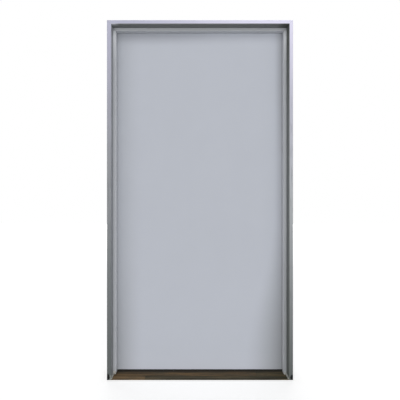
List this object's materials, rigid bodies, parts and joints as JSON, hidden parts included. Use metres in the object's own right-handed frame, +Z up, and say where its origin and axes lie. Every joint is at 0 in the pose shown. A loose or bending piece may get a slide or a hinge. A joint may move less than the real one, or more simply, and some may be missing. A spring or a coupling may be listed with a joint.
{
  "type": "steel utility door",
  "caption": "Plain flush steel door leaf on butt hinges in a narrow-faced double-rabbet steel frame, with a low timber threshold.",
  "frame": {"origin": "on the floor, in the middle of the doorway's width and of the frame's depth", "axes": "+Z up, +X to the right and +Y away from a viewer on the stop side, from which the leaf opens away"},
  "size_m": [1.117, 0.1445, 2.159],
  "materials": {
    "frame_paint": "satin grey enamel on folded sheet, duller and dirtier towards the foot",
    "leaf_paint": "even satin blue-grey enamel on smooth sheet",
    "threshold_timber": "dark brown oiled boards with a straight grain",
    "sealant": "matt grey sealant, smoothed by hand",
    "gasket_rubber": "black extruded rubber",
    "galvanised_steel": "galvanised sheet",
    "honeycomb_core": "kraft paper honeycomb, closed in by the skins",
    "hinge_steel": "satin steel butt hinges"
  },
  "bodies": {
    "frame": {"left_jamb": "frame_paint", "right_jamb": "frame_paint", "head": "frame_paint", "threshold_front_left_board": "threshold_timber", "threshold_front_right_board": "threshold_timber", "threshold_back_left_board": "threshold_timber", "threshold_back_right_board": "threshold_timber", "left_sealant_bead": "sealant", "right_sealant_bead": "sealant", "left_gasket": "gasket_rubber", "right_gasket": "gasket_rubber", "head_gasket": "gasket_rubber", "left_wall_anchor_1": "galvanised_steel", "left_wall_anchor_2": "galvanised_steel", "left_wall_anchor_3": "galvanised_steel", "left_wall_anchor_4": "galvanised_steel", "right_wall_anchor_1": "galvanised_steel", "right_wall_anchor_2": "galvanised_steel", "right_wall_anchor_3": "galvanised_steel", "right_wall_anchor_4": "galvanised_steel", "bottom_hinge_backing_plate": "galvanised_steel", "middle_hinge_backing_plate": "galvanised_steel", "top_hinge_backing_plate": "galvanised_steel", "left_floor_anchor": "galvanised_steel", "right_floor_anchor": "galvanised_steel", "bottom_hinge_frame_plate": "hinge_steel", "bottom_hinge_pin": "hinge_steel", "middle_hinge_frame_plate": "hinge_steel", "middle_hinge_pin": "hinge_steel", "top_hinge_frame_plate": "hinge_steel", "top_hinge_pin": "hinge_steel"},
    "leaf": {"leaf_front_skin": "leaf_paint", "leaf_rear_skin": "leaf_paint", "leaf_core": "honeycomb_core", "leaf_top_channel": "leaf_paint", "leaf_foot_channel": "leaf_paint", "bottom_hinge_leaf_plate": "hinge_steel", "middle_hinge_leaf_plate": "hinge_steel", "top_hinge_leaf_plate": "hinge_steel"}
  },
  "joints": [
    {"name": "leaf_hinge", "type": "hinge", "parent": "frame", "child": "leaf", "pos_m": [-0.531, 0.0725, 1], "axis": [0, 0, 1], "range_deg": [0, 170]}
  ]
}
